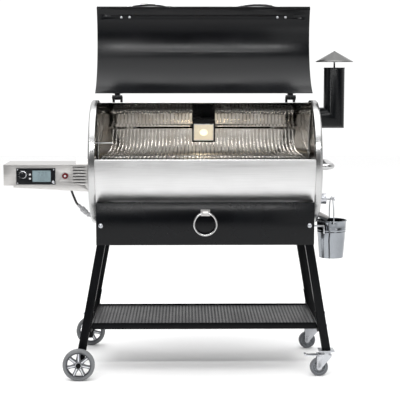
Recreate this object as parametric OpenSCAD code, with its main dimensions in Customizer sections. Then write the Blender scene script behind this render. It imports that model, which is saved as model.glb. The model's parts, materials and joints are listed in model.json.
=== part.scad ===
// Pellet smoker grill: a horizontal barrel on a wheeled cart, with a pellet hopper behind it.
// Millimetres. X runs along the barrel, Y to the back, Z up; the lid is drawn open.

/* [Barrel] */
// Length over the two end caps
barrel_len = 1016; // [900:4:1100]
// Outside radius of the end caps' rims
barrel_r = 279; // [265:1:290]
// Height of the barrel's axis above the floor
axis_z = 930; // [900:1:960]
// Thickness of the sheet metal
sheet = 2; // [1.5:0.5:3]
// Width of the rolled rim on each end cap
rim_w = 30; // [20:1:40]

/* [Lid] */
// Arc position of the barrel's front lip, from the front, upwards
lip_a = 5.8; // [4:0.1:6.5]
// Arc position of the barrel's rear edge
rear_a = 106.5; // [104:0.5:110]
// How far the lid is turned open
lid_open = 144; // [60:0.5:145]
// Distance of the hinge pin from the barrel's axis
hinge_r = 300; // [298:1:304]
// Distance of each hinge from the middle
hinge_x = 398; // [300:1:430]
// Distance of each handle's foot from the middle
handle_x = 360; // [340:1:380]

/* [Cart] */
// Half width of the black body under the barrel
body_x = 472; // [460:1:480]
// Height of the body's lower edge
body_z0 = 588; // [580:1:600]
// Height of the body's upper edge
body_z1 = 772; // [760:1:780]
// Side of the square leg tube
leg_w = 36; // [30:1:45]
// Half distance between the front and rear legs
leg_y = 251; // [230:1:255]
// Half distance between the legs' tops
leg_top_x = 453.7; // [440:0.1:460]
// How far a right leg's foot stands out past its top
leg_splay = 89; // [60:1:110]
// How far a left leg's foot stands out past its top
leg_splay_left = 98; // [60:1:110]
// Height of the lower shelf's deck
shelf_z = 222; // [200:1:300]
// Half depth of the lower shelf
shelf_y = 206; // [180:1:225]

/* [Wheels] */
// Radius of the spoked wheels
wheel_r = 70; // [65:1:80]
// Width of the spoked wheels
wheel_w = 30; // [24:1:34]
// Distance of the spoked wheels from the middle, front and back
wheel_y = 323; // [318:1:330]
// Number of spokes
spokes = 7; // [5:1:9]
// Radius of the caster wheels
caster_r = 40; // [35:1:44]
// How far the caster wheels trail their swivel
trail = 31; // [26:1:34]

/* [Fittings] */
// Radius of the chimney pipe
pipe_r = 47.5; // [40:0.5:50]
// Distance of the chimney pipe from the middle
pipe_x = 598; // [595:1:610]
// Height of the chimney pipe's mouth
pipe_top = 1354; // [1300:1:1400]
// Length of the control box
box_len = 371; // [360:1:380]
// Depth of the control box
box_depth = 200; // [150:1:220]
// Radius of the folding ring, to the middle of its wire
ring_r = 48.75; // [40:0.25:50]
// Radius of the bucket's mouth
bucket_r = 68; // [60:1:68]

/* [Hopper] */
// Half width of the pellet hopper
hopper_x = 230; // [200:1:240]
// Front face of the hopper
hopper_y0 = 292; // [290:1:296]
// Rear face of the hopper
hopper_y1 = 504; // [500:1:510]
// Height of the hopper's floor
hopper_z0 = 660; // [655:1:665]
// Height of the hopper's rim
hopper_z1 = 1130; // [1100:1:1140]
// Height of the auger's axis
auger_z = 712; // [710:1:714]

/* [Hidden] */
$fn = 64;

half_len = barrel_len / 2;
cap_in = barrel_r - sheet;           // inside of the end caps' rims
cap_bend = 10;                       // outside radius of the rims' bend
shell_out = cap_in - 0.2;            // the shell slips inside the rims
shell_in = shell_out - sheet;
lid_in = barrel_r + 2;               // the closed lid clears the rims
lid_out = lid_in + sheet;
lid_half = 500;
lid_a0 = 8;                          // closed lid, front edge
lid_a1 = 105;                        // closed lid, rear edge
handle_a = 17.5;                     // the lid handles' feet
slot_a = 52;                         // the slot for the lid's thermometer
hinge_y = -hinge_r * cos(rear_a);
hinge_z = axis_z + hinge_r * sin(rear_a);
run_gap = 0.05;                      // radial clearance of a running fit

apron_y = leg_y + leg_w / 2;         // the body's panels lie against the legs
shaft_r = 6;                         // wheel axles
axle_y = wheel_y + wheel_w / 2 + 3;  // inner face of the axle's head
axle_head = 6;

axle_x = -leg_x(wheel_r, -1);

fire_y = 30;                         // the fire pot's middle
tube_r = 32;
tube_y0 = 74;
tube_y1 = 420;
throat_y0 = 332;
throat_y1 = 398;
igniter_r = 4.5;
hatch_knob = 14;

rail_z0 = 200;                       // the shelf's rails
rail_z1 = 229;

bin_x = 583;                         // the bucket hangs here
ear_z = 650;
hook_z = 759;
bail_wire = 2.5;
bail_half = 80;

ring_y = -apron_y - sheet - 10.5;
ring_top = 729.75;
ring_wire = 4.75;

panel_y = -box_depth;                // face of the control box
knob_x = -796;
knob_z = 890;
button_x = -612;
button_z = 884;
cable_y = -120;
box_end = -half_len - box_len - 2;

chim_y = 90;
stub_z = 1124;
cap_r = 86;
cap_z = 1382;
cap_apex = 1430;
rod_r = 4;

// The row's origin is under the middle of the object's box.
mid_x = (box_end + pipe_x + cap_r) / 2;
mid_y = (hopper_y1 + sheet + 2 + hatch_knob - axle_y - axle_head) / 2;

// side is -1 for the left legs, 1 for the right ones
function splay(side) = side < 0 ? leg_splay_left : leg_splay;
function leg_x(z, side) = leg_top_x + splay(side) * (body_z0 - z) / (body_z0 - wheel_r);
function leg_tilt(side) = atan(splay(side) / (body_z0 - wheel_r));
// Local frame down a right leg, or a left one mirrored: +Z runs up the leg
module leg_frame(side) translate([leg_top_x, 0, body_z0]) rotate([0, -leg_tilt(side), 0]) children();
function down_leg(z, side) = (body_z0 - z) / cos(leg_tilt(side));

// Smooth curve through the points of p: Catmull-Rom, n steps to a stretch
function knot(p, i) = p[max(0, min(len(p) - 1, i))];
function blend_at(p, i, t) = 0.5 * (2 * p[i] + t * (knot(p, i + 1) - knot(p, i - 1))
  + t * t * (2 * knot(p, i - 1) - 5 * p[i] + 4 * knot(p, i + 1) - knot(p, i + 2))
  + t * t * t * (3 * p[i] - knot(p, i - 1) - 3 * knot(p, i + 1) + knot(p, i + 2)));
function smooth(p, n) = [for (i = [0:len(p) - 2]) for (k = [0:n - 1]) blend_at(p, i, k / n),
  p[len(p) - 1]];
function unit(v) = v / norm(v);

// Round bar along points of [x, y, z, radius]; ref is never along the bar
module sweep(q, ref, sides) {
  n = len(q);
  pos = [for (c = q) [c[0], c[1], c[2]]];
  dir = [for (i = [0:n - 1]) unit(pos[min(n - 1, i + 1)] - pos[max(0, i - 1)])];
  ring = [for (i = [0:n - 1]) let (u = unit(cross(dir[i], ref)), v = cross(dir[i], u))
    for (k = [0:sides - 1]) pos[i] + q[i][3] * (u * cos(360 * k / sides) + v * sin(360 * k / sides))];
  side = [for (i = [0:n - 2]) for (k = [0:sides - 1]) let (m = (k + 1) % sides)
    each [[i * sides + k, (i + 1) * sides + k, (i + 1) * sides + m],
          [i * sides + k, (i + 1) * sides + m, i * sides + m]]];
  first = [for (k = [1:sides - 2]) [0, k, k + 1]];
  last = [for (k = [1:sides - 2]) [(n - 1) * sides, (n - 1) * sides + k + 1, (n - 1) * sides + k]];
  polyhedron(points = ring, faces = concat(side, first, last));
}

// Stretch of rolled sheet between radii r0 and r1; angles run from the front over the top
module arc_sheet(r0, r1, x0, x1, a0, a1) {
  translate([0, 0, axis_z]) rotate([0, 90, 0]) rotate([0, 0, 270 - a1])
    rotate_extrude(angle = a1 - a0) translate([r0, x0]) square([r1 - r0, x1 - x0]);
}
// Local frame on the barrel at angle a: +Y points outwards, +Z towards the front
module at_angle(a) translate([0, 0, axis_z]) rotate([180 - a, 0, 0]) children();
module block(x0, x1, y0, y1, z0, z1) translate([x0, y0, z0]) cube([x1 - x0, y1 - y0, z1 - z0]);
module rod_x(r, x0, x1, y, z) translate([x0, y, z]) rotate([0, 90, 0]) cylinder(r = r, h = x1 - x0);
module rod_y(r, y0, y1, x, z) translate([x, y1, z]) rotate([90, 0, 0]) cylinder(r = r, h = y1 - y0);
module rod_z(r, z0, z1, x, y) translate([x, y, z0]) cylinder(r = r, h = z1 - z0);
// The lid's parts are drawn closed, then turned about the hinge pins
module lid_swing() translate([0, hinge_y, hinge_z]) rotate([-lid_open, 0, 0])
  translate([0, -hinge_y, -hinge_z]) children();
module in_place() translate([-mid_x, -mid_y, 0]) children();

// ---------- barrel ----------
module barrel_shell() {
  color("silver") difference() {
    union() {
      arc_sheet(shell_in, shell_out, -half_len + cap_bend + 0.5, half_len - cap_bend - 0.5,
        rear_a, 360 + lip_a);
      at_angle(lip_a) rod_x(4, -half_len + rim_w + 2, half_len - rim_w - 2, shell_in - 1.5, 0);
    }
    rod_y(tube_r + 1, 60, 300, 0, auger_z);
    rod_z(31, 620, 700, 0, fire_y);
    block(-156, -104, 100, 250, 701, 727);
    at_angle(147) rod_y(5, 250, 300, 0, 0);
  }
}
module end_cap(side) {
  steps = 6;
  bend = cap_bend;
  outer = [for (k = [0:steps]) [barrel_r - bend + bend * cos(90 - 90 * k / steps),
    half_len - bend + bend * sin(90 - 90 * k / steps)]];
  inner = [for (k = [0:steps]) [barrel_r - bend + (bend - sheet) * cos(90 * k / steps),
    half_len - bend + (bend - sheet) * sin(90 * k / steps)]];
  profile = concat([[0, half_len]], outer, [[barrel_r, half_len - rim_w], [cap_in, half_len - rim_w]],
    inner, [[0, half_len - sheet]]);
  translate([0, 0, axis_z]) rotate([0, 90 * side, 0]) rotate_extrude($fn = 96) polygon(profile);
}
module end_cap_left() {
  color("gainsboro") difference() {
    end_cap(-1);
    rod_x(4, -half_len - 10, -half_len + 10, 60, 1010);
  }
}
module end_cap_right() {
  color("gainsboro") difference() {
    end_cap(1);
    rod_x(pipe_r - 1, half_len - 10, half_len + 10, chim_y, stub_z);
    rod_x(20, half_len - 10, half_len + 10, 0, 696);
  }
}

// ---------- black body and cart ----------
// Folded panel: a face with flanges turned in along its top and bottom
module folded_panel(ends) {
  block(-ends, ends, -apron_y - sheet, -apron_y, body_z0, body_z1);
  block(-ends, ends, -apron_y - 0.01, -232, body_z1 - sheet, body_z1);
  block(-ends + leg_w + 30, ends - leg_w - 30, -apron_y - 0.01, -apron_y + 24, body_z0, body_z0 + sheet);
}
module front_panel() color("black") folded_panel(body_x);
module rear_panel() {
  color("black") difference() {
    mirror([0, 1, 0]) folded_panel(body_x);
    rod_y(tube_r + 2, 250, 300, 0, auger_z);
    block(-157, -103, 250, 300, 700, 728);
  }
}
module side_panels() {
  color("black") for (s = [-1, 1]) difference() {
    translate([s < 0 ? -body_x - sheet : body_x, 0, 0])
      block(0, sheet, -apron_y - sheet, apron_y + sheet, body_z0, body_z1);
    rod_x(cap_in + 0.3, -body_x - 10, body_x + 10, 0, axis_z);
  }
}
module leg_tube(side, foot_z) {
  drop = down_leg(foot_z, side);
  past = 60;
  half = leg_w / 2;
  wall = 3;
  mirror([side < 0 ? 1 : 0, 0, 0]) difference() {
    union() {
      block(leg_top_x - 16, leg_top_x + 14, -half + 1, half - 1, body_z0 + 10, body_z1 - 32);
      leg_frame(side) block(-half, half, -half, half, -drop - past, past);
    }
    leg_frame(side) block(-half + wall, half - wall, -half + wall, half - wall,
      -drop - past - 1, -30);
    block(300, 700, -100, 100, foot_z - 200, foot_z);
  }
}
module legs_left() {
  foot = 56;
  color("black") for (s = [-1, 1]) {
    translate([0, s * leg_y, 0]) leg_tube(-1, foot);
    mirror([0, s > 0 ? 1 : 0, 0]) wheel_axle();
  }
}
module wheel_axle() {
  color("silver") {
    rod_y(shaft_r, -axle_y - 0.01, -apron_y - 1, axle_x, wheel_r);
    rod_y(10, -wheel_y + wheel_w / 2 + 0.5, -apron_y + 1, axle_x, wheel_r);
    rod_y(11, -axle_y - axle_head, -axle_y, axle_x, wheel_r);
  }
}
module legs_right() color("black") for (s = [-1, 1]) translate([0, s * leg_y, 0]) leg_tube(1, plate_z1);
// Distance of the shelf's side rail from the middle, and the leg's face beside it
function leg_face(z, side) = leg_x(z, side) - leg_w / 2 / cos(leg_tilt(side));
function rail_x(side) = leg_face(rail_z1, side) - 1;
module shelf_frame() {
  gauge = 3;
  flange = 26;
  tab_w = 30;
  tab_top = 292;
  color("black") {
    for (s = [0, 1]) mirror([0, s, 0]) {
      block(-rail_x(-1), rail_x(1), -shelf_y, -shelf_y + gauge, rail_z0, rail_z1);
      block(-rail_x(-1), rail_x(1), -shelf_y + gauge - 0.01, -shelf_y + flange,
        shelf_z - 2 - gauge, shelf_z - 2);
    }
    for (side = [-1, 1]) mirror([side < 0 ? 1 : 0, 0, 0]) {
      block(rail_x(side) - gauge, rail_x(side), -leg_y - 12, leg_y + 12, rail_z0, rail_z1);
      for (y = [-leg_y, leg_y]) leg_frame(side)
        block(-leg_w / 2 - gauge, -leg_w / 2, y - tab_w / 2, y + tab_w / 2,
          -down_leg(rail_z0 + 4, side), -down_leg(tab_top, side));
    }
  }
}
module shelf_deck() {
  pitch_x = 40;
  pitch_y = 40;
  color("dimgray") translate([0, 0, shelf_z - 1.9]) linear_extrude(2) difference() {
    translate([-rail_x(-1) + 4, -shelf_y + 4]) square([rail_x(-1) + rail_x(1) - 8, 2 * shelf_y - 8]);
    for (i = [-11:11], j = [-4:4]) translate([i * pitch_x, j * pitch_y])
      polygon([[-16, 0], [0, -16], [16, 0], [0, 16]]);
  }
}
module frame_bolts() {
  color("silver") {
    for (x = [-1, 1], y = [-1, 1]) {
      mirror([0, y > 0 ? 1 : 0, 0]) rod_y(9.5, -apron_y - sheet - 5, -apron_y - sheet, x * leg_top_x, 673);
      for (z = [222, 280]) mirror([x < 0 ? 1 : 0, 0, 0]) translate([0, y * leg_y, 0])
        leg_frame(x) rod_x(8, leg_w / 2, leg_w / 2 + 6, 0, -down_leg(z, x));
    }
  }
}

// ---------- inside the barrel ----------
pan_tilt = 1.2;
module grate_ledges() {
  color("silver") for (s = [0, 1]) mirror([0, s, 0]) {
    block(-490, 490, 252, 272.5, 923.7, 925.7);
    block(-490, 490, 271, 272.5, 906, 923.71);
    translate([0, 0, 848]) rotate([0, pan_tilt, 0]) block(-485, 485, 228, 250, -5, -3);
    for (x = [-300, 0, 300]) block(x - 10, x + 10, 248, 250, 848 - 3 - x * tan(pan_tilt), 924);
  }
}
module grate(mid) {
  half = 160;
  color("gray") translate([mid, 0, 0]) {
    for (y = [-248, 0, 248]) rod_x(4, -half, half, y, 930);
    for (i = [-8:8]) rod_y(3, -264, 264, i * 19, 936);
  }
}
module grate_left() grate(-326);
module grate_centre() grate(0);
module grate_right() grate(326);
module drip_pan() {
  color("silver") translate([0, 0, 848]) rotate([0, pan_tilt, 0]) difference() {
    block(-484, 468, -242, 242, -2.7, 12);
    block(-482, 466, -240, 240, -0.7, 20);
    block(460, 480, -40, 40, -0.7, 20);
  }
}
module heat_deflector() {
  color("dimgray") {
    translate([150, 0, 0]) rotate([0, -90, 0]) linear_extrude(300)
      polygon([[785, -160], [805, 0], [785, 160], [788, 160], [808, 0], [788, -160]]);
    for (x = [-143, 140]) block(x, x + 3, -60, 60, 664, 797);
  }
}
module fire_pot() {
  color("dimgray") difference() {
    union() {
      rod_z(50, 668, 755, 0, fire_y);
      rod_z(30.5, 640, 669, 0, fire_y);
    }
    rod_z(47, 671, 800, 0, fire_y);
    rod_z(27.5, 600, 700, 0, fire_y);
    rod_y(tube_r + 0.3, 60, 120, 0, auger_z);
    rod_y(igniter_r + run_gap, 60, 120, 18, 678);
  }
}
module igniter_rod() color("silver") rod_y(igniter_r, 62, 94, 18, 678);
module temperature_probe() {
  color("silver") {
    rod_x(3, -half_len - 4, -half_len + 90, 60, 1010);
    difference() {
      rod_x(9, -half_len + sheet, -half_len + sheet + 5, 60, 1010);
      rod_x(3.2, -half_len, -half_len + 20, 60, 1010);
    }
  }
}
module lamp_housing() {
  color("black") at_angle(147) {
    difference() {
      block(-54, 54, 226, 266, -60, 60);
      block(-45, 45, 220, 262, -44, 44);
    }
    rod_y(4.8, 265.9, 282, 0, 0);
    for (z = [-52, 52]) rod_y(5, 223, 226.01, 0, z);
  }
}
module lamp_glass() {
  color("khaki") at_angle(147) difference() {
    block(-44.5, 44.5, 222, 261, -43.5, 43.5);
    block(-41, 41, 225, 262, -40, 40);
  }
}

// ---------- pellet feed and fan ----------
module auger_tube() {
  color("dimgray") difference() {
    rod_y(tube_r, tube_y0, tube_y1, 0, auger_z);
    rod_y(tube_r - 3, tube_y0 - 1, tube_y1 + 1, 0, auger_z);
    block(-24, 24, throat_y0, throat_y1, auger_z, auger_z + 60);
  }
}
module auger() {
  turns = 6;
  flight_y0 = tube_y0 + 14;
  flight_y1 = tube_y1 - 10;
  color("silver") {
    rod_y(7, flight_y0 - 6, tube_y1 + 20, 0, auger_z);
    translate([0, flight_y1, auger_z]) rotate([90, 0, 0])
      linear_extrude(flight_y1 - flight_y0, twist = -360 * turns, slices = 16 * turns, $fn = 12)
        translate([7.3, -3]) square([18.7, 6]);
  }
}
module auger_motor() {
  color("black") {
    difference() {
      block(-35, 35, tube_y1 + 0.5, tube_y1 + 36, auger_z - 30, auger_z + 30);
      rod_y(7 + run_gap, tube_y1, tube_y1 + 22, 0, auger_z);
    }
    rod_y(27, tube_y1 + 36, tube_y1 + 76, 0, auger_z);
  }
}
// Sloping funnel from the hopper's walls down to the slot in the auger tube
module funnel(inset) {
  hull() {
    block(-hopper_x + sheet + inset, hopper_x - sheet - inset, hopper_y0 + sheet + inset,
      hopper_y1 - sheet - inset, 899, 902 + inset);
    block(-26 + inset, 26 - inset, throat_y0 - 2 + inset, throat_y1 + 2 - inset, 746 - inset, 747);
  }
}
module hopper_case() {
  color("black") {
    difference() {
      block(-hopper_x, hopper_x, hopper_y0, hopper_y1, hopper_z0, hopper_z1);
      block(-hopper_x + sheet, hopper_x - sheet, hopper_y0 + sheet, hopper_y1 - sheet,
        hopper_z0 + sheet, hopper_z1 + 1);
      rod_y(tube_r + 2, 280, 300, 0, auger_z);
      block(-157, -103, 280, 300, 700, 728);
      block(-40, 40, hopper_y1 - 10, hopper_y1 + 10, 800, 860);
      rod_z(50, 650, 670, -130, 400);
    }
    difference() {
      funnel(0);
      funnel(2);
    }
    for (x = [-190, 170]) block(x, x + 20, apron_y + sheet, hopper_y0, 690, 750);
    for (x = [-46, 42.2]) block(x, x + 3.8, hopper_y1, hopper_y1 + 6, 786, 940);
    for (x = [-150, 150]) difference() {
      union() {
        rod_x(6, x - 30, x - 10, hopper_y1 + 9, hopper_z1 + 6);
        block(x - 30, x - 10, hopper_y1, hopper_y1 + 6, hopper_z1 - 25, hopper_z1 + 6);
      }
      rod_x(3 + run_gap, x - 31, x - 9, hopper_y1 + 9, hopper_z1 + 6);
    }
  }
}
module hopper_lid() {
  color("black") {
    block(-hopper_x - 4, hopper_x + 4, hopper_y0 - 4, hopper_y1, hopper_z1 + 2, hopper_z1 + 4);
    block(-hopper_x - 4, hopper_x + 4, hopper_y0 - 4, hopper_y0 - 2, hopper_z1 - 16, hopper_z1 + 2.01);
    for (s = [0, 1]) mirror([s, 0, 0])
      block(hopper_x + 2, hopper_x + 4, hopper_y0 - 2.01, hopper_y1, hopper_z1 - 16, hopper_z1 + 2.01);
    for (x = [-150, 150]) {
      block(x - 9, x + 15, hopper_y1 - 30, hopper_y1 + 9, hopper_z1 + 3.99, hopper_z1 + 7);
      rod_x(6, x - 9, x + 15, hopper_y1 + 9, hopper_z1 + 6);
      rod_x(3, x - 34, x - 8.9, hopper_y1 + 9, hopper_z1 + 6);
    }
    for (x = [-60, 52]) block(x, x + 8, hopper_y0 + 20, hopper_y0 + 34, hopper_z1 + 3.99, hopper_z1 + 26);
    block(-60, 60, hopper_y0 + 20, hopper_y0 + 34, hopper_z1 + 18, hopper_z1 + 26);
  }
}
module hopper_hatch() {
  color("silver") {
    block(-41.9, 41.9, hopper_y1 + 0.3, hopper_y1 + sheet + 0.3, 788, 870);
    rod_y(9, hopper_y1 + sheet, hopper_y1 + sheet + 2 + hatch_knob, 0, 830);
  }
}
module fan_housing() {
  fan_x = -130;
  fan_y = 400;
  color("black") {
    difference() {
      block(fan_x - 60, fan_x + 60, fan_y - 60, fan_y + 60, hopper_z0 + sheet, 700);
      rod_z(56, 650, 710, fan_x, fan_y);
    }
    block(fan_x - 57, fan_x + 57, fan_y - 6, fan_y + 6, hopper_z0 + sheet, 666);
    rod_z(3, 665.9, 692, fan_x, fan_y);
    difference() {
      union() {
        block(fan_x - 60, fan_x + 60, fan_y - 60, fan_y + 60, 700, 726);
        block(-155, -105, 140, fan_y - 59, 702, 726);
      }
      block(fan_x - 58, fan_x + 58, fan_y - 58, fan_y + 58, 690, 724);
      block(-153, -107, 130, fan_y - 50, 704, 724);
    }
  }
}
module fan_impeller() {
  color("dimgray") translate([-130, 400, 0]) difference() {
    union() {
      rod_z(20, 670, 694, 0, 0);
      for (i = [0:6]) rotate([0, 0, i * 360 / 7]) translate([18, 0, 682]) rotate([35, 0, 0])
        translate([0, -9, -1]) cube([33, 18, 2]);
    }
    rod_z(3 + run_gap, 660, 700, 0, 0);
  }
}

// ---------- control box ----------
module box_outline(t) {
  polygon([[box_end + t, 842 + t], [box_end + 42 + t / 2, 842 + t], [box_end + 42 + t / 2, 833 + t],
    [-half_len - 2 - t, 815 + t], [-half_len - 2 - t, 933 - t], [box_end + t, 933 - t]]);
}
module control_box() {
  color("gainsboro") {
    difference() {
      rotate([90, 0, 0]) linear_extrude(box_depth) box_outline(0);
      translate([0, -sheet, 0]) rotate([90, 0, 0]) linear_extrude(box_depth - 2 * sheet) box_outline(sheet);
      block(-820, -660, panel_y - 5, panel_y + 5, 852, 913);
      rod_y(13.5, panel_y - 5, panel_y + 5, button_x, button_z);
      for (i = [0:5]) block(-578, -523, panel_y - 5, panel_y + 5, 920 - 13.7 * i, 925 - 13.7 * i);
      rod_y(2, panel_y - 5, panel_y + 5, -530, 843);
      rod_z(6, 810, 830, cable_route[0][0], cable_y);
    }
    block(-half_len - 2, -half_len, panel_y, 0, 815, 955);
    block(-half_len - 60, -half_len - 1.9, panel_y + 40, panel_y + 42, 932.9, 955);
    difference() {
      rod_y(16, panel_y - 2, panel_y - 0.01, button_x, button_z);
      rod_y(13.5, panel_y - 3, panel_y + 1, button_x, button_z);
    }
  }
}
module control_bezel() {
  color("black") difference() {
    block(-825, -655, panel_y - 6, panel_y, 847, 918);
    block(-755, -674, panel_y - 7, panel_y + 1, 858, 909);
    rod_y(3 + run_gap, panel_y - 7, panel_y + 1, knob_x, knob_z);
    for (z = [869, 887]) block(-770, -760, panel_y - 7, panel_y + 1, z, z + 8);
  }
}
module display() color("lightsteelblue") block(-754.7, -674.3, panel_y - 4, panel_y - 1, 858.3, 908.7);
module control_knob() {
  color("black") {
    rod_y(16, panel_y - 22, panel_y - 6.5, knob_x, knob_z);
    rod_y(3, panel_y - 7, panel_y + 6, knob_x, knob_z);
  }
}
module key_cap(z) color("gray") block(-769.5, -760.5, panel_y - 8.5, panel_y - 2, z + 0.5, z + 7.5);
module key_upper() key_cap(887);
module key_lower() key_cap(869);
module power_button() {
  color("darkred") {
    rod_y(13, panel_y - 7, panel_y + 1, button_x, button_z);
    rod_y(5, panel_y + 0.9, panel_y + 8, button_x, button_z);
  }
}
cable_route = [[-593, cable_y, 822, 5], [-592.5, cable_y, 810, 5], [-587, cable_y, 793, 5],
  [-579, cable_y, 773, 5], [-571, cable_y, 755, 5], [-563, cable_y, 746.5, 5]];
plug_start = [-563, cable_y, 746.5];
plug_end = [-519.5, cable_y, 703];
module harness_cable() color("black") sweep(smooth(cable_route, 6), [0, 1, 0], 12);
module harness_plug() {
  run = plug_end - plug_start;
  lean = atan2(run[0], run[2]);
  color("gray") {
    translate(plug_start) rotate([0, lean, 0]) {
      translate([0, 0, 1]) cylinder(r = 8, h = 13);
      translate([0, 0, 13.9]) cylinder(r = 12, h = norm(run) - 24);
      translate([0, 0, norm(run) - 10.2]) cylinder(r = 9, h = 10.2);
    }
    rod_x(9.5, plug_end[0] - 6, -half_len, plug_end[1], plug_end[2]);
  }
}

// ---------- chimney ----------
// Pipe with a mitred elbow: a vertical run and a stub to the end cap
module elbow_pipe(r, x_in, z_out) {
  big = 400;
  difference() {
    rod_z(r, stub_z - r, z_out, pipe_x, chim_y);
    translate([pipe_x, chim_y, stub_z]) rotate([0, 45, 0]) block(-big, big, -big, big, -big, 0);
  }
  difference() {
    rod_x(r, x_in, pipe_x + r, chim_y, stub_z);
    translate([pipe_x, chim_y, stub_z]) rotate([0, 45, 0]) block(-big, big, -big, big, 0, big);
  }
}
module chimney() {
  color("black") {
    difference() {
      elbow_pipe(pipe_r, half_len, pipe_top);
      elbow_pipe(pipe_r - sheet, half_len - 30, pipe_top + 1);
    }
    difference() {
      rod_x(pipe_r + 14, half_len, half_len + 3, chim_y, stub_z);
      rod_x(pipe_r - 1, half_len - 1, half_len + 4, chim_y, stub_z);
    }
    difference() {
      block(pipe_x - pipe_r + 1, pipe_x + pipe_r - 1, chim_y - 8, chim_y + 8, pipe_top - 30, pipe_top - 24);
      rod_z(rod_r + run_gap, pipe_top - 40, pipe_top, pipe_x, chim_y);
    }
  }
}
module chimney_cap() {
  color("dimgray") translate([pipe_x, chim_y, 0]) {
    rotate_extrude($fn = 72) polygon([[0, cap_apex], [cap_r, cap_z], [cap_r, cap_z - 3],
      [cap_r - 2, cap_z - 3], [0, cap_apex - 4]]);
  }
  color("silver") rod_z(rod_r, pipe_top - 70, cap_apex - 3, pipe_x, chim_y);
}

// ---------- right-hand fittings ----------
module push_handle() {
  tube = 14;
  bend = 30;
  reach = 567;
  half = 120;
  color("gainsboro") {
    rod_y(tube, -half + bend, half - bend, reach, 917);
    for (s = [0, 1]) mirror([0, s, 0]) {
      translate([reach - bend, half - bend, 917]) rotate_extrude(angle = 90)
        translate([bend, 0]) circle(tube);
      rod_x(tube, half_len, reach - bend, half, 917);
      rod_x(tube + 6, half_len, half_len + 4, half, 917);
    }
  }
}
module bucket_hook() {
  color("silver") {
    rod_x(24, half_len, 556, 0, hook_z);
    rod_x(5, 555.9, 592, 0, hook_z);
    rod_x(9, 591.9, 596, 0, hook_z);
  }
  color("black") {
    block(body_x + sheet, 534, -150, -120, 650, 654);
    block(530, 534, -150, -120, 618, 650.01);
    block(body_x + sheet, body_x + sheet + 4, -150, -120, 618, 650.01);
  }
}
module drain_spout() {
  spout = 13;
  lean = 117;
  color("silver") difference() {
    union() {
      block(472, 503, -55, 55, 792, 832);
      rod_z(spout, 706, 793, 487, 0);
      translate([487, 0, 706]) sphere(spout + 1.5);
      translate([487, 0, 706]) rotate([0, lean, 0]) cylinder(r = spout, h = 88);
    }
    block(474, 501, -53, 53, 794, 840);
    rod_z(spout - 2, 706, 800, 487, 0);
    translate([487, 0, 706]) sphere(spout - 1.2);
    translate([487, 0, 706]) rotate([0, lean, 0]) cylinder(r = spout - 2, h = 100);
  }
}
module bucket() {
  top_z = 660;
  floor_z = 490;
  floor_r = 55;
  wall = 1.2;
  color("silver") translate([bin_x, 0, 0]) difference() {
    union() {
      rotate_extrude($fn = 96) polygon([[0, floor_z], [floor_r, floor_z], [bucket_r, top_z],
        [bucket_r - wall, top_z], [floor_r - wall, floor_z + wall], [0, floor_z + wall]]);
      translate([0, 0, top_z]) rotate_extrude($fn = 96) translate([bucket_r, 0]) circle(2.4, $fn = 24);
      for (s = [0, 1]) mirror([0, s, 0]) rod_y(9, bucket_r - 2.5, 75, 0, ear_z);
    }
    for (s = [0, 1]) mirror([0, s, 0]) rod_y(bail_wire + run_gap, 69, 76, 0, ear_z);
  }
}
module bucket_bail() {
  arch_z = hook_z + 5.3 + bail_wire - bail_half;
  color("silver") translate([bin_x, 0, 0]) {
    translate([0, 0, arch_z]) rotate([90, 0, 90]) rotate_extrude(angle = 180, $fn = 96)
      translate([bail_half, 0]) circle(bail_wire, $fn = 24);
    for (s = [0, 1]) mirror([0, s, 0]) {
      rod_z(bail_wire, ear_z, arch_z, 0, bail_half);
      translate([0, bail_half, ear_z]) sphere(bail_wire);
      rod_y(bail_wire, 69.5, bail_half, 0, ear_z);
    }
  }
}
module ring_bracket() {
  color("silver") difference() {
    union() {
      rod_x(9, -11, 11, ring_y, ring_top);
      block(-11, 11, ring_y, -apron_y - sheet - 3, ring_top - 7, ring_top + 7);
      block(-20, 20, -apron_y - sheet - 3.01, -apron_y - sheet, ring_top - 14, ring_top + 14);
    }
    rod_x(6.2, -30, 30, ring_y, ring_top);
  }
}
module pull_ring() {
  color("silver") translate([0, ring_y, ring_top - ring_r]) rotate([90, 0, 0])
    rotate_extrude($fn = 96) translate([ring_r, 0]) circle(ring_wire, $fn = 32);
}

// ---------- lid ----------
module lid() {
  color("black") lid_swing() difference() {
    union() {
      arc_sheet(lid_in, lid_out, -lid_half, lid_half, lid_a0, lid_a1);
      at_angle(lid_a0) rod_x(4, -lid_half + 1, lid_half - 1, lid_out + 0.5, 0);
      at_angle(slot_a) {
        block(-58, 58, lid_out - 1, lid_out + 6, -12, 12);
        block(-50, 50, lid_in - 4, lid_in + 1, -6.5, -4.5);
      }
    }
    at_angle(slot_a) block(-50, 50, 250, lid_out + 4, -4, 4);
    for (s = [-1, 1], x = [-19, 19]) at_angle(handle_a) rod_y(3.5, 250, 300, s * (handle_x + 6) + x, 0);
  }
}
handle_route = [[-360, 286, 0, 15], [-361, 298, 1, 15], [-368, 315, 10, 15],
  [-358, 336, 25, 14.5], [-318, 347, 38, 14],
  [-255, 350, 42, 13], [-186, 345, 37, 10.5], [-122, 334, 28, 6]];
module lid_handles() {
  color("silver") lid_swing() at_angle(handle_a) for (s = [0, 1]) mirror([s, 0, 0]) {
    sweep(smooth(handle_route, 5), [0, -0.6, 0.8], 16);
    block(-handle_x - 32, -handle_x + 20, lid_out, lid_out + 4, -14, 14);
    for (x = [-19, 19]) {
      rod_y(3.2, lid_in - 3, lid_out + 0.01, -handle_x - 6 + x, 0);
      rod_y(6.5, lid_in - 6, lid_in - 3, -handle_x - 6 + x, 0);
    }
  }
}
hinge_half = 23;
knuckle_r = 11;
pin_r = 5;
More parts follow.
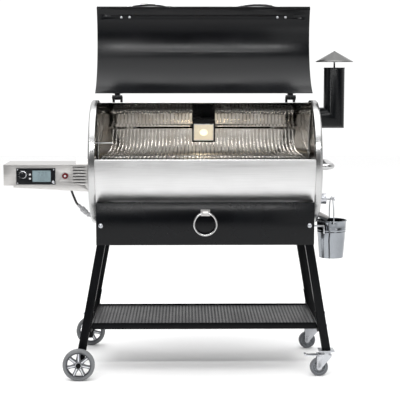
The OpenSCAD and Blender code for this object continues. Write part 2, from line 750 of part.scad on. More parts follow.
module lid_hinges() {
  color("black") lid_swing() for (x = [-hinge_x, hinge_x]) {
    arc_sheet(lid_out, lid_out + 3, x - 20, x + 20, lid_a1 - 14, lid_a1 - 1);
    at_angle(rear_a) difference() {
      union() {
        rod_x(knuckle_r, x - 12, x + 12, hinge_r, 0);
        block(x - 12, x + 12, lid_out + 1, hinge_r + 4, 8, 50);
        block(x - 12, x + 12, hinge_r - 8, hinge_r + 4, 0, 9);
      }
      rod_x(pin_r + run_gap, x - 20, x + 20, hinge_r, 0);
    }
  }
}
module hinge_brackets() {
  color("black") for (x = [-hinge_x, hinge_x]) {
    arc_sheet(shell_out + 0.02, shell_out + 4, x - 26, x + 26, rear_a + 3, rear_a + 15);
    at_angle(rear_a) for (s = [-1, 1]) difference() {
      union() {
        rod_x(knuckle_r, x + s * 18 - 5, x + s * 18 + 5, hinge_r, 0);
        block(x + s * 18 - 5, x + s * 18 + 5, shell_out - 2, hinge_r + 6, -46, -16);
        block(x + s * 18 - 5, x + s * 18 + 5, hinge_r - 7, hinge_r + 6, -17, -3);
      }
      rod_x(pin_r, x - 40, x + 40, hinge_r, 0);
      translate([x, 0, 0]) rotate([0, 90, 0]) cylinder(r = shell_out + 0.5, h = 100, center = true);
    }
    color("silver") at_angle(rear_a) rod_x(pin_r, x - hinge_half, x + hinge_half, hinge_r, 0);
  }
}

// ---------- wheels ----------
module spoked_wheel(y) {
  rim_r = wheel_r - 11;
  hub_r = 16;
  color("silver") translate([axle_x, y, wheel_r]) rotate([90, 0, 0]) {
    difference() {
      union() {
        cylinder(r = hub_r, h = wheel_w, center = true);
        difference() {
          cylinder(r = rim_r, h = wheel_w - 4, center = true, $fn = 96);
          cylinder(r = rim_r - 8, h = wheel_w, center = true, $fn = 96);
        }
        for (i = [0:spokes - 1]) rotate([0, 0, 90 + i * 360 / spokes])
          translate([hub_r - 2, -5, -8]) cube([rim_r - hub_r - 4, 10, 16]);
      }
      cylinder(r = shaft_r + run_gap, h = wheel_w + 10, center = true);
    }
  }
  color("dimgray") translate([axle_x, y, wheel_r]) rotate([90, 0, 0])
    rotate_extrude($fn = 96) polygon([[rim_r + run_gap, -wheel_w / 2 + 2], [wheel_r - 4, -wheel_w / 2],
      [wheel_r, -wheel_w / 2 + 5], [wheel_r, wheel_w / 2 - 5], [wheel_r - 4, wheel_w / 2],
      [rim_r + run_gap, wheel_w / 2 - 2]]);
}
module wheel_front() spoked_wheel(-wheel_y);
module wheel_rear() spoked_wheel(wheel_y);

plate_z1 = 118;
plate_z0 = 112;
swivel_x = leg_x(plate_z1, 1);
fork_half = 20;
module caster_plates() {
  color("silver") for (s = [-1, 1]) translate([swivel_x, s * leg_y, 0]) {
    block(-34, 34, -32, 32, plate_z0, plate_z1);
    rod_z(5, 92, plate_z0 + 0.01, 0, 0);
  }
}
module caster_fork(y, has_brake) {
  wheel_x = -trail;
  color("silver") translate([swivel_x, y, 0]) difference() {
    union() {
      rod_z(22, 96, plate_z0 - 0.3, 0, 0);
      for (s = [0, 1]) mirror([0, s, 0]) translate([0, fork_half, 0]) rotate([90, 0, 0]) linear_extrude(3)
        polygon([[-42, 99], [22, 99], [22, 88], [wheel_x + 12, caster_r], [wheel_x - 12, caster_r],
          [-42, 84]]);
      block(-22, 22, -fork_half, fork_half, 96, 99);
      for (s = [-1, 1]) translate([wheel_x, s * (fork_half - 1.5), caster_r]) rotate([90, 0, 0])
        cylinder(r = 12, h = 3, center = true);
      rod_y(4, -fork_half - 3, fork_half + 3, wheel_x, caster_r);
      if (has_brake) rod_y(2.5, -fork_half, fork_half, -34, 92);
    }
    rod_z(5 + run_gap, 90, 120, 0, 0);
  }
}
module caster_fork_front() caster_fork(-leg_y, true);
module caster_fork_rear() caster_fork(leg_y, false);
module caster_wheel(y) {
  color("gray") translate([swivel_x - trail, y, caster_r]) rotate([90, 0, 0]) difference() {
    union() {
      rotate_extrude($fn = 96) polygon([[0, -15], [14, -15], [14, -11], [caster_r - 3, -13], [caster_r, -9],
        [caster_r, 9], [caster_r - 3, 13], [14, 11], [14, 15], [0, 15]]);
    }
    cylinder(r = 4 + run_gap, h = 60, center = true);
  }
}
module caster_wheel_front() caster_wheel(-leg_y);
module caster_wheel_rear() caster_wheel(leg_y);
module brake_lever() {
  pivot_x = swivel_x - 34;
  color("silver") translate([0, -leg_y, 0]) difference() {
    union() {
      rod_y(5, -16, 16, pivot_x, 92);
      block(pivot_x - 60, pivot_x - 2, -14, 14, 92, 96);
      block(pivot_x - 64, pivot_x - 56, -14, 14, 94, 102);
    }
    rod_y(2.5 + run_gap, -20, 20, pivot_x, 92);
  }
}

in_place() barrel_shell();
in_place() end_cap_left();
in_place() end_cap_right();
in_place() front_panel();
in_place() rear_panel();
in_place() side_panels();
in_place() legs_left();
in_place() legs_right();
in_place() shelf_frame();
in_place() shelf_deck();
in_place() frame_bolts();
in_place() grate_ledges();
in_place() grate_left();
in_place() grate_centre();
in_place() grate_right();
in_place() drip_pan();
in_place() heat_deflector();
in_place() fire_pot();
in_place() igniter_rod();
in_place() auger_tube();
in_place() auger();
in_place() auger_motor();
in_place() hopper_case();
in_place() hopper_lid();
in_place() hopper_hatch();
in_place() fan_housing();
in_place() fan_impeller();
in_place() lamp_housing();
in_place() lamp_glass();
in_place() temperature_probe();
in_place() control_box();
in_place() control_bezel();
in_place() display();
in_place() control_knob();
in_place() key_upper();
in_place() key_lower();
in_place() power_button();
in_place() harness_cable();
in_place() harness_plug();
in_place() chimney();
in_place() chimney_cap();
in_place() push_handle();
in_place() bucket_hook();
in_place() drain_spout();
in_place() bucket();
in_place() bucket_bail();
in_place() ring_bracket();
in_place() pull_ring();
in_place() lid();
in_place() lid_handles();
in_place() lid_hinges();
in_place() hinge_brackets();
in_place() wheel_front();
in_place() wheel_rear();
in_place() caster_fork_front();
in_place() caster_fork_rear();
in_place() caster_wheel_front();
in_place() caster_wheel_rear();
in_place() caster_plates();
in_place() brake_lever();
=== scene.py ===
"""Looks for the pellet smoker grill: materials, detailed pieces, camera, floor and light."""

import json
import math

import bmesh
import bpy
from mathutils import Matrix, Vector


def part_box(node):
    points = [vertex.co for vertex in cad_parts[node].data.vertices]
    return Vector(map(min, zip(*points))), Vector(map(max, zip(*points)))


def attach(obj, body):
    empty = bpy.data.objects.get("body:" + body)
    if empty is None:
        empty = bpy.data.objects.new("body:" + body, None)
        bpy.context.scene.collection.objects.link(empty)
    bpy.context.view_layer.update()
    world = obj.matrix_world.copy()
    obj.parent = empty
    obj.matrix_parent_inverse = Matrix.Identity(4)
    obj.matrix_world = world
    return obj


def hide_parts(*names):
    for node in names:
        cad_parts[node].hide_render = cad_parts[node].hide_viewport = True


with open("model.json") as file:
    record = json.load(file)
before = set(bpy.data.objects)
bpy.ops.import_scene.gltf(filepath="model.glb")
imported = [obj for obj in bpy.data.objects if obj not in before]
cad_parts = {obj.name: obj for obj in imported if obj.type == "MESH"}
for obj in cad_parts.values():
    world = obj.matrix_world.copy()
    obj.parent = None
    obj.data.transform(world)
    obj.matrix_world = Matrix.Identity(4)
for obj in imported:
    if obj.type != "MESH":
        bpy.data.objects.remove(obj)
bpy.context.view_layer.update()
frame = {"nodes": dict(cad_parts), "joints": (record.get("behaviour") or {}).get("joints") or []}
NODES = frame["nodes"]


# ---------- places, all from the frame ----------
def low(node):
    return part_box(node)[0]


def high(node):
    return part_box(node)[1]


def middle(node):
    return (low(node) + high(node)) / 2


def joint(name):
    return next(j for j in frame["joints"] if j["name"] == name)


BARREL_X = middle("barrel_shell").x
AXIS_Y = middle("end_cap_left").y
AXIS_Z = middle("end_cap_left").z


# ---------- material kit ----------
class Shader:
    """A Principled material and short ways to add nodes to it."""

    def __init__(self, name, color, metallic=0.0, rough=0.5, **sockets):
        self.mat = bpy.data.materials.new(name)
        self.mat.use_nodes = True
        self.tree = self.mat.node_tree
        self.bsdf = self.tree.nodes["Principled BSDF"]
        self.set("Base Color", (*color, 1.0))
        self.set("Metallic", metallic)
        self.set("Roughness", rough)
        for key, value in sockets.items():
            self.set(key.replace("_", " "), value)

    def set(self, socket, value):
        self.bsdf.inputs[socket].default_value = value

    def node(self, kind, **values):
        made = self.tree.nodes.new(kind)
        for key, value in values.items():
            if key in made.inputs:
                made.inputs[key].default_value = value
            else:
                setattr(made, key, value)
        return made

    def link(self, out, into):
        self.tree.links.new(out, into)

    def coords(self, scale=(1, 1, 1)):
        where = self.node("ShaderNodeTexCoord")
        mapping = self.node("ShaderNodeMapping")
        mapping.inputs["Scale"].default_value = scale
        self.link(where.outputs["Object"], mapping.inputs["Vector"])
        return mapping.outputs["Vector"]

    def noise(self, scale, detail=3.0, stretch=(1, 1, 1), roughness=0.55):
        made = self.node("ShaderNodeTexNoise")
        made.inputs["Scale"].default_value = scale
        made.inputs["Detail"].default_value = detail
        made.inputs["Roughness"].default_value = roughness
        self.link(self.coords(stretch), made.inputs["Vector"])
        return made.outputs["Fac"]

    def ramp(self, fac, stops):
        made = self.node("ShaderNodeValToRGB")
        points = made.color_ramp.elements
        while len(points) < len(stops):
            points.new(0.5)
        for point, (at, value) in zip(points, stops):
            point.position = at
            shade = value if isinstance(value, tuple) else (value,) * 3
            point.color = (*shade, 1.0)
        self.link(fac, made.inputs["Fac"])
        return made.outputs["Color"]

    def paint(self, fac, stops):
        self.link(self.ramp(fac, stops), self.bsdf.inputs["Base Color"])

    def vary_rough(self, fac, lowest, highest):
        made = self.node("ShaderNodeMapRange")
        made.inputs["From Min"].default_value = 0.3
        made.inputs["From Max"].default_value = 0.7
        made.inputs["To Min"].default_value = lowest
        made.inputs["To Max"].default_value = highest
        self.link(fac, made.inputs["Value"])
        self.link(made.outputs["Result"], self.bsdf.inputs["Roughness"])

    def bump(self, fac, strength, distance=0.0005, over=None):
        made = self.node("ShaderNodeBump")
        made.inputs["Strength"].default_value = strength
        made.inputs["Distance"].default_value = distance
        self.link(fac, made.inputs["Height"])
        if over is not None:
            self.link(over, made.inputs["Normal"])
        self.link(made.outputs["Normal"], self.bsdf.inputs["Normal"])
        return made.outputs["Normal"]


def brushed(name, shade, rough, along="X", grain=1.0):
    """Brushed steel: streaks run along one axis, with faint cloudy patches."""
    fine, coarse = 900.0 * grain, 6.0
    stretch = {"X": (coarse, fine, fine), "Y": (fine, coarse, fine), "Z": (fine, fine, coarse)}[along]
    made = Shader(name, shade, 1.0, rough)
    streaks = made.noise(1.0, 4.0, stretch)
    clouds = made.noise(9.0, 3.0)
    darker = tuple(c * 0.86 for c in shade)
    lighter = tuple(min(1.0, c * 1.06) for c in shade)
    made.paint(streaks, [(0.3, darker), (0.7, lighter)])
    both = made.node("ShaderNodeMath", operation="ADD")
    half = made.node("ShaderNodeMath", operation="MULTIPLY")
    half.inputs[1].default_value = 0.5
    made.link(streaks, both.inputs[0])
    made.link(clouds, both.inputs[1])
    made.link(both.outputs[0], half.inputs[0])
    made.vary_rough(half.outputs[0], rough * 0.75, rough * 1.3)
    made.bump(streaks, 0.12, 0.0002)
    return made.mat


def painted(name, shade, rough, coat=0.0, orange_peel=0.06, shine=0.5):
    """Oven-baked paint: orange peel, a little dust and rubbed patches."""
    made = Shader(name, shade, 0.0, rough, Coat_Weight=coat, Coat_Roughness=0.12)
    made.set("Specular IOR Level", shine)
    patches = made.noise(7.0, 5.0)
    peel = made.noise(900.0, 2.0)
    dusty = tuple(min(1.0, c * 1.5 + 0.0003) for c in shade)
    made.paint(patches, [(0.35, shade), (0.75, dusty)])
    made.vary_rough(patches, rough * 0.85, rough * 1.2)
    made.bump(peel, orange_peel, 0.0003)
    return made.mat


def moulded(name, shade, rough, grain=0.15):
    """Moulded plastic or rubber with a fine grain."""
    made = Shader(name, shade, 0.0, rough)
    texture = made.noise(1500.0, 2.0)
    patches = made.noise(20.0, 3.0)
    lighter = tuple(min(1.0, c * 1.3 + 0.003) for c in shade)
    made.paint(patches, [(0.35, shade), (0.75, lighter)])
    made.vary_rough(patches, rough * 0.85, rough * 1.15)
    made.bump(texture, grain, 0.0002)
    return made.mat


def worn_steel(name, shade, rough, spots=14.0, tint=(0.55, 0.42, 0.3)):
    """Bare or heat-stained steel with cloudy stains."""
    made = Shader(name, shade, 1.0, rough)
    stains = made.noise(spots, 6.0)
    scratches = made.noise(260.0, 3.0)
    stained = tuple(c * (0.55 + 0.45 * t) for c, t in zip(shade, tint))
    made.paint(stains, [(0.35, shade), (0.72, stained)])
    made.vary_rough(stains, rough * 0.8, rough * 1.3)
    made.bump(scratches, 0.08, 0.0002)
    return made.mat


def polished(name, shade, rough):
    """Bright polished sheet with faint waviness and a few smoke-dulled patches."""
    made = Shader(name, shade, 1.0, rough)
    smoke = made.noise(6.0, 4.0)
    waves = made.noise(16.0, 1.0)
    made.paint(smoke, [(0.35, shade), (0.75, tuple(c * 0.82 for c in shade))])
    made.vary_rough(smoke, rough * 0.8, rough * 1.6)
    made.bump(waves, 0.04, 0.0005)
    return made.mat


def glowing(name, shade, strength):
    made = Shader(name, shade, 0.0, 0.15)
    made.set("Emission Color", (*shade, 1.0))
    made.set("Emission Strength", strength)
    frost = made.noise(60.0, 2.0)
    made.vary_rough(frost, 0.1, 0.3)
    return made.mat


STAINLESS = brushed("barrel_stainless", (0.56, 0.56, 0.56), 0.44)
CAP_STEEL = brushed("cap_stainless", (0.42, 0.42, 0.42), 0.22, "Z")
BOX_STEEL = brushed("box_stainless", (0.50, 0.49, 0.48), 0.36)
MIRROR = polished("liner_stainless", (0.60, 0.585, 0.565), 0.07)
HANDLE_STEEL = brushed("handle_stainless", (0.44, 0.44, 0.44), 0.16, "X", 0.4)
ZINC = worn_steel("zinc_plate", (0.46, 0.47, 0.49), 0.30, 30.0, (0.9, 0.9, 0.95))
BLACK = painted("black_enamel", (0.0012, 0.0015, 0.0021), 0.26, shine=0.16)
LID_BLACK = painted("lid_enamel", (0.0012, 0.0015, 0.0021), 0.22, shine=0.20)
LEG_BLACK = painted("leg_powder_coat", (0.0012, 0.0014, 0.0019), 0.36, shine=0.10)
MESH_BLACK = painted("mesh_powder_coat", (0.02, 0.02, 0.022), 0.40, shine=0.5)
GRATE_STEEL = brushed("grate_rod_steel", (0.82, 0.81, 0.79), 0.16, "Y", 0.5)
PAN_STEEL = worn_steel("pan_steel", (0.45, 0.44, 0.42), 0.4)
FIRE_STEEL = worn_steel("fire_steel", (0.30, 0.28, 0.26), 0.5, 25.0, (0.6, 0.45, 0.35))
MOTOR_BLACK = painted("motor_enamel", (0.03, 0.03, 0.033), 0.4)
BEZEL = painted("bezel_plastic", (0.0025, 0.003, 0.004), 0.30, shine=0.2)
KEYS = moulded("key_plastic", (0.42, 0.42, 0.43), 0.45)
LCD = painted("lcd_panel", (0.125, 0.170, 0.185), 0.12, 0.6, 0.01)
RED = moulded("button_plastic", (0.085, 0.002, 0.005), 0.16, 0.03)
RUBBER = moulded("cable_rubber", (0.012, 0.012, 0.012), 0.55)
PLUG_GREY = moulded("plug_plastic", (0.33, 0.33, 0.34), 0.45)
CAP_METAL = brushed("rain_cap_metal", (0.13, 0.13, 0.128), 0.22, "Z", 0.3)
BUCKET_STEEL = brushed("bucket_steel", (0.25, 0.265, 0.285), 0.13, "Z", 0.8)
ALLOY = worn_steel("wheel_alloy", (0.15, 0.155, 0.165), 0.34, 20.0, (0.95, 0.95, 1.0))
HUB_ALLOY = worn_steel("hub_alloy", (0.62, 0.63, 0.65), 0.3, 20.0, (0.95, 0.95, 1.0))
CASTER_GREY = moulded("caster_tread", (0.10, 0.105, 0.115), 0.4)
LAMP = glowing("lamp_lens", (0.60, 0.55, 0.44), 0.30)
BULB = glowing("lamp_bulb", (0.86, 0.80, 0.66), 0.55)

TYRE_GREY = moulded("tyre_grey_rubber", (0.13, 0.135, 0.14), 0.5)
CORE_GREY = moulded("caster_core_plastic", (0.16, 0.17, 0.185), 0.35, 0.05)
LCD_INK = moulded("lcd_ink", (0.085, 0.115, 0.125), 0.4, 0.02)
SLOT_BLACK = moulded("slot_black", (0.01, 0.01, 0.01), 0.5, 0.02)

DRESS = {
    STAINLESS: ["barrel_shell"],
    CAP_STEEL: ["end_cap_left", "end_cap_right"],
    BOX_STEEL: ["control_box", "ring_bracket", "drain_spout"],
    HANDLE_STEEL: ["push_handle", "lid_handles", "pull_ring"],
    ZINC: ["igniter_rod", "auger", "hopper_hatch", "temperature_probe", "bucket_hook",
           "bucket_bail", "caster_fork_front", "caster_fork_rear", "caster_plates", "brake_lever",
           "grate_ledges"],
    BLACK: ["front_panel", "rear_panel", "side_panels", "hopper_case", "hopper_lid", "lamp_housing",
            "chimney", "lid_hinges", "hinge_brackets"],
    LID_BLACK: ["lid"],
    LEG_BLACK: ["legs_left", "legs_right", "shelf_frame"],
    MESH_BLACK: ["shelf_deck"],
    GRATE_STEEL: ["grate_left", "grate_centre", "grate_right"],
    PAN_STEEL: ["drip_pan", "heat_deflector"],
    FIRE_STEEL: ["fire_pot", "auger_tube"],
    MOTOR_BLACK: ["auger_motor", "fan_housing", "fan_impeller"],
    BEZEL: ["control_bezel", "control_knob"],
    KEYS: ["key_upper", "key_lower"],
    LCD: ["display"],
    RED: ["power_button"],
    RUBBER: ["harness_cable"],
    PLUG_GREY: ["harness_plug"],
    CAP_METAL: ["chimney_cap"],
    BUCKET_STEEL: ["bucket"],
    ALLOY: ["wheel_front", "wheel_rear"],
    CASTER_GREY: ["caster_wheel_front", "caster_wheel_rear"],
    LAMP: ["lamp_glass"],
}


def dress(node, material, bevel=0.0006):
    """Gives a CAD node its material, softened edges and smooth curved faces."""
    piece = NODES[node]
    piece.data.materials.clear()
    piece.data.materials.append(material)
    weld = piece.modifiers.new("weld", "WELD")
    weld.merge_threshold = 1e-6
    if bevel:
        soft = piece.modifiers.new("edges", "BEVEL")
        soft.width = bevel
        soft.segments = 2
        soft.limit_method = "ANGLE"
        soft.angle_limit = math.radians(40)
        soft.use_clamp_overlap = True
    piece.data.shade_smooth()
    piece.data.set_sharp_from_angle(angle=math.radians(35))


for finish, nodes in DRESS.items():
    for node in nodes:
        dress(node, finish)


def line_barrel():
    """The barrel's inner faces are polished, its outer faces brushed."""
    shell = NODES["barrel_shell"].data
    shell.materials.append(MIRROR)
    for face in shell.polygons:
        inwards = Vector((0, AXIS_Y - face.center.y, AXIS_Z - face.center.z))
        if inwards.normalized().dot(face.normal) > 0.7:
            face.material_index = 1
    for node, side in (("end_cap_left", 1), ("end_cap_right", -1)):
        cap = NODES[node].data
        cap.materials.append(MIRROR)
        for face in cap.polygons:
            if face.normal.x * side > 0.9:
                face.material_index = 1


line_barrel()


# ---------- piece kit ----------
class Piece:
    """Gathers faces for one object, which then rides on a CAD body."""

    def __init__(self, name):
        self.name = name
        self.verts, self.faces, self.kinds, self.materials = [], [], [], []

    def use(self, material):
        if material not in self.materials:
            self.materials.append(material)
        return self.materials.index(material)

    def add(self, verts, faces, material, place=None):
        first, kind = len(self.verts), self.use(material)
        place = place or Matrix.Identity(4)
        self.verts += [place @ Vector(v) for v in verts]
        self.faces += [tuple(first + i for i in face) for face in faces]
        self.kinds += [kind] * len(faces)

    def lathe(self, profile, material, place=None, steps=64):
        """Turns a closed outline of (radius, height) points about local Z."""
        n = len(profile)
        verts = [(r * math.cos(t), r * math.sin(t), h)
                 for t in (math.tau * k / steps for k in range(steps)) for r, h in profile]
        faces = [(k * n + i, ((k + 1) % steps) * n + i, ((k + 1) % steps) * n + (i + 1) % n,
                  k * n + (i + 1) % n) for k in range(steps) for i in range(n)]
        self.add(verts, faces, material, place)

    def tube(self, path, radius, material, place=None, sides=12, closed=False):
        """Round bar along a path; radius is a number, or one for each point."""
        path = [Vector(p) for p in path]
        n = len(path)
        radii = radius if isinstance(radius, (list, tuple)) else [radius] * n
        verts, faces = [], []
        side = None
        for i in range(n):
            before = path[(i - 1) % n] if closed or i else path[0]
            after = path[(i + 1) % n] if closed or i < n - 1 else path[-1]
            ahead = (after - before).normalized()
            if side is None:
                side = ahead.orthogonal().normalized()
            side = (side - ahead * side.dot(ahead)).normalized()
            up = ahead.cross(side)
            for k in range(sides):
                t = math.tau * k / sides
                verts.append(path[i] + radii[i] * (math.cos(t) * side + math.sin(t) * up))
        rings = n if closed else n - 1
        for i in range(rings):
            for k in range(sides):
                a, b = i * sides, ((i + 1) % n) * sides
                m = (k + 1) % sides
                faces.append((a + k, a + m, b + m, b + k))
        if not closed:
            faces.append(tuple(reversed(range(sides))))
            faces.append(tuple(range((n - 1) * sides, n * sides)))
        self.add(verts, faces, material, place)

    def prism(self, outline, thick, material, place=None):
        """Extrudes an outline of (x, y) points along local Z, from -thick/2 to thick/2."""
        n = len(outline)
        verts = [(x, y, z) for z in (-thick / 2, thick / 2) for x, y in outline]
        faces = [tuple(reversed(range(n))), tuple(range(n, 2 * n))]
        faces += [(i, (i + 1) % n, n + (i + 1) % n, n + i) for i in range(n)]
        self.add(verts, faces, material, place)

    def block(self, lowest, highest, material, place=None):
        (x0, y0, z0), (x1, y1, z1) = lowest, highest
        outline = [(x0, y0), (x1, y0), (x1, y1), (x0, y1)]
        shift = Matrix.Translation((0, 0, (z0 + z1) / 2))
        self.prism(outline, z1 - z0, material, (place or Matrix.Identity(4)) @ shift)

    def done(self, body, bevel=0.0, replaces=(), smooth=35, segments=2):
        mesh = bpy.data.meshes.new(self.name)
        mesh.from_pydata(self.verts, [], self.faces)
        for material in self.materials:
            mesh.materials.append(material)
        for face, kind in zip(mesh.polygons, self.kinds):
            face.material_index = kind
        fixer = bmesh.new()
        fixer.from_mesh(mesh)
        bmesh.ops.remove_doubles(fixer, verts=fixer.verts, dist=1e-7)
        loose = [edge for edge in fixer.edges if not edge.link_faces]
        bmesh.ops.delete(fixer, geom=loose, context="EDGES")
        bmesh.ops.recalc_face_normals(fixer, faces=fixer.faces)
        fixer.to_mesh(mesh)
        fixer.free()
        mesh.shade_smooth()
        mesh.set_sharp_from_angle(angle=math.radians(smooth))
        made = bpy.data.objects.new(self.name, mesh)
        bpy.context.scene.collection.objects.link(made)
        if bevel:
            soft = made.modifiers.new("edges", "BEVEL")
            soft.width, soft.segments = bevel, segments
            soft.limit_method = "ANGLE"
            soft.angle_limit = math.radians(35)
            soft.harden_normals = False
        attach(made, body)
        if replaces:
            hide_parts(*replaces)
        return made


def along(axis, at):
    """Frame at a point whose local Z runs along the axis."""
    return Matrix.Translation(at) @ Vector(axis).to_track_quat("Z", "Y").to_matrix().to_4x4()


def arc(centre, radius, start, end, steps):
    """Points of a flat arc, angles in degrees."""
    turn = [math.radians(start + (end - start) * k / steps) for k in range(steps + 1)]
    return [(centre[0] + radius * math.cos(t), centre[1] + radius * math.sin(t)) for t in turn]


# ---------- spoked wheels ----------
SPOKES = 7


def spoked_wheel(node):
    lowest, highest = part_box(node)
    centre = (lowest + highest) / 2
    radius, half = (highest.z - lowest.z) / 2, (highest.y - lowest.y) / 2
    outwards = -1 if "front" in node else 1
    # local Z points away from the cart; local Y stays upright
    place = Matrix.Translation(centre) @ Matrix(((1, 0, 0, 0), (0, 0, outwards, 0), (0, 1, 0, 0),
                                                 (0, 0, 0, 1)))
    wheel = Piece(node + "_detailed")
    rim = radius - 0.013
    wheel.lathe([(rim, -half + 0.002)] + [(radius - 0.004, -half + 0.0005)]
                + arc((radius - 0.006, -half + 0.007), 0.006, -70, 0, 4)
                + [(radius, -0.0045), (radius - 0.0016, -0.0038), (radius - 0.0016, 0.0038), (radius, 0.0045)]
                + arc((radius - 0.006, half - 0.007), 0.006, 0, 70, 4)
                + [(radius - 0.004, half - 0.0005), (rim, half - 0.002)], TYRE_GREY, place, 96)
    wheel.lathe([(rim + 0.0005, -half + 0.003), (rim + 0.0005, half - 0.003), (rim - 0.003, half - 0.002),
                 (rim - 0.006, half - 0.005), (rim - 0.0075, half - 0.010), (rim - 0.0075, -half + 0.010),
                 (rim - 0.006, -half + 0.005), (rim - 0.003, -half + 0.002)], ALLOY, place, 96)
    hub = 0.0165
    bore = 0.00615
    wheel.lathe([(bore, -half), (hub - 0.002, -half), (hub, -half + 0.002), (hub, half - 0.003),
                 (hub - 0.002, half - 0.001), (bore + 0.005, half - 0.001), (bore + 0.004, half - 0.004),
                 (bore, half - 0.004)], ALLOY, place, 48)
    wheel.lathe([(bore + 0.0052, half - 0.0015), (bore + 0.0052, half), (bore + 0.0075, half),
                 (bore + 0.0075, half - 0.0015)], HUB_ALLOY, place, 48)
    for k in range(SPOKES):
        turn = place @ Matrix.Rotation(math.tau * k / SPOKES, 4, "Z")
        wheel.prism([(-0.0092, hub - 0.003), (0.0092, hub - 0.003), (0.0062, 0.034), (0.0078, rim - 0.006),
                     (-0.0078, rim - 0.006), (-0.0062, 0.034)], 0.014, ALLOY, turn)
        wheel.prism([(-0.0028, hub - 0.001), (0.0028, hub - 0.001), (0.0022, rim - 0.007),
                     (-0.0022, rim - 0.007)], 0.021, HUB_ALLOY, turn)
    wheel.done(node, 0.0007, (node,))


# ---------- caster wheels ----------
def caster_wheel(node):
    lowest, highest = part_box(node)
    centre = (lowest + highest) / 2
    radius, half = (highest.z - lowest.z) / 2, (highest.y - lowest.y) / 2
    place = along((0, 1, 0), centre)
    wheel = Piece(node + "_detailed")
    tread = half - 0.0035
    core = radius - 0.010
    wheel.lathe([(core, -tread)] + arc((radius - 0.004, -tread + 0.004), 0.004, -90, 0, 5)
                + [(radius, 0)] + arc((radius - 0.004, tread - 0.004), 0.004, 0, 90, 5)
                + [(core, tread)], CASTER_GREY, place, 72)
    wheel.lathe([(core + 0.0004, -tread + 0.001), (core + 0.0004, tread - 0.001), (core - 0.003, tread),
                 (core - 0.006, 0.005), (0.013, 0.005), (0.0125, half), (0.0041, half), (0.0041, -half),
                 (0.0125, -half), (0.013, -0.005), (core - 0.006, -0.005), (core - 0.003, -tread)],
                CORE_GREY, place, 72)
    for k in range(6):
        turn = place @ Matrix.Rotation(math.tau * k / 6, 4, "Z")
        wheel.prism([(-0.0015, 0.011), (0.0015, 0.011), (0.0015, core - 0.003), (-0.0015, core - 0.003)],
                    2 * half - 0.006, CORE_GREY, turn)
    wheel.done(node, 0.0005, (node,))


# ---------- grates ----------
def grate(node):
    lowest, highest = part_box(node)
    made = Piece(node + "_rods")
    rod, rail = 0.003, 0.004
    half = (highest.x - lowest.x) / 2
    count = 17
    pitch = 2 * (half - 0.008) / (count - 1)
    rod_z = highest.z - rod
    rail_z = lowest.z + rail
    middle_x = (lowest.x + highest.x) / 2
    for k in range(count):
        x = middle_x + (k - (count - 1) / 2) * pitch
        made.tube([(x, lowest.y + 0.001, rod_z), (x, (lowest.y + highest.y) / 2, rod_z),
                   (x, highest.y - 0.001, rod_z)], rod, GRATE_STEEL, sides=14)
        for end, y in ((1, lowest.y), (-1, highest.y)):
            made.tube([(x, y + end * 0.001, rod_z), (x, y + end * 0.0003, rod_z)], [rod, rod * 0.7],
                      GRATE_STEEL, sides=14)
    for part in (0.02, 0.5, 0.98):
        y = lowest.y + 0.01 + (highest.y - lowest.y - 0.02) * part
        made.tube([(lowest.x, y, rail_z), (highest.x, y, rail_z)], rail, GRATE_STEEL, sides=14)
    made.done(node, 0, (node,))


# ---------- shelf deck ----------
def shelf_deck():
    """Sheet pierced with close rows of diamond holes, framed by a plain margin."""
    lowest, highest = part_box("shelf_deck")
    margin = 0.012
    pitch_x, pitch_y = 0.0150, 0.0125
    wide = highest.x - lowest.x - 2 * margin
    deep = highest.y - lowest.y - 2 * margin
    across, down = int(wide / pitch_x), int(deep / pitch_y)
    step_x, step_y = wide / across, deep / down
    strand = 0.0017
    made = Piece("shelf_deck_mesh")
    top, under = highest.z, lowest.z
    x0, y0 = lowest.x + margin, lowest.y + margin
    verts, faces = [], []

    def corner(x, y):
        verts.append((x, y, 0))
        return len(verts) - 1

    for i in range(across):
        for j in range(down):
            left, near = x0 + i * step_x, y0 + j * step_y
            mx, my = left + step_x / 2, near + step_y / 2
            hx, hy = step_x / 2 - strand, step_y / 2 - strand
            square = [corner(left, near), corner(left + step_x, near), corner(left + step_x, near + step_y),
                      corner(left, near + step_y)]
            hole = [corner(mx, my - hy), corner(mx + hx, my), corner(mx, my + hy), corner(mx - hx, my)]
            sides = [corner(mx, near), corner(left + step_x, my), corner(mx, near + step_y), corner(left, my)]
            for k in range(4):
                m = (k + 1) % 4
                faces.append((sides[k], square[m], sides[m], hole[m], hole[k]))
    rim = [(lowest.x, lowest.y), (highest.x, lowest.y), (highest.x, highest.y), (lowest.x, highest.y)]
    inner = [(x0, y0), (x0 + wide, y0), (x0 + wide, y0 + deep), (x0, y0 + deep)]
    corners = [corner(*p) for p in rim] + [corner(*p) for p in inner]
    faces += [(corners[k], corners[(k + 1) % 4], corners[4 + (k + 1) % 4], corners[4 + k]) for k in range(4)]
    made.add(verts, faces, MESH_BLACK, Matrix.Translation((0, 0, top)))
    deck = made.done("cart", 0, ("shelf_deck",))
    sheet = deck.modifiers.new("weld", "WELD")
    sheet.merge_threshold = 1e-5
    thick = deck.modifiers.new("sheet", "SOLIDIFY")
    thick.thickness = top - under
    thick.offset = -1
    return deck


# ---------- lid ----------
HINGE = joint("lid_hinge")
PIN = Vector(HINGE["pos_m"])
LID_OPEN = math.radians(HINGE["range_deg"][1])
BARREL_R = (high("end_cap_left").z - low("end_cap_left").z) / 2
LID_SKIN = BARREL_R + 0.004          # outer face of the lid
HANDLE_A = 17.5                      # arc position of the handles' feet


QUARTER_TURN = Matrix.Rotation(math.pi / 2, 4, "X")       # turns +z to the front


def at_angle(degrees):
    """Frame on the barrel: +X along it, +Y outwards, +Z towards the front lip."""
    turn = Matrix.Rotation(math.radians(180 - degrees), 4, "X")
    return Matrix.Translation((BARREL_X, AXIS_Y, AXIS_Z)) @ turn


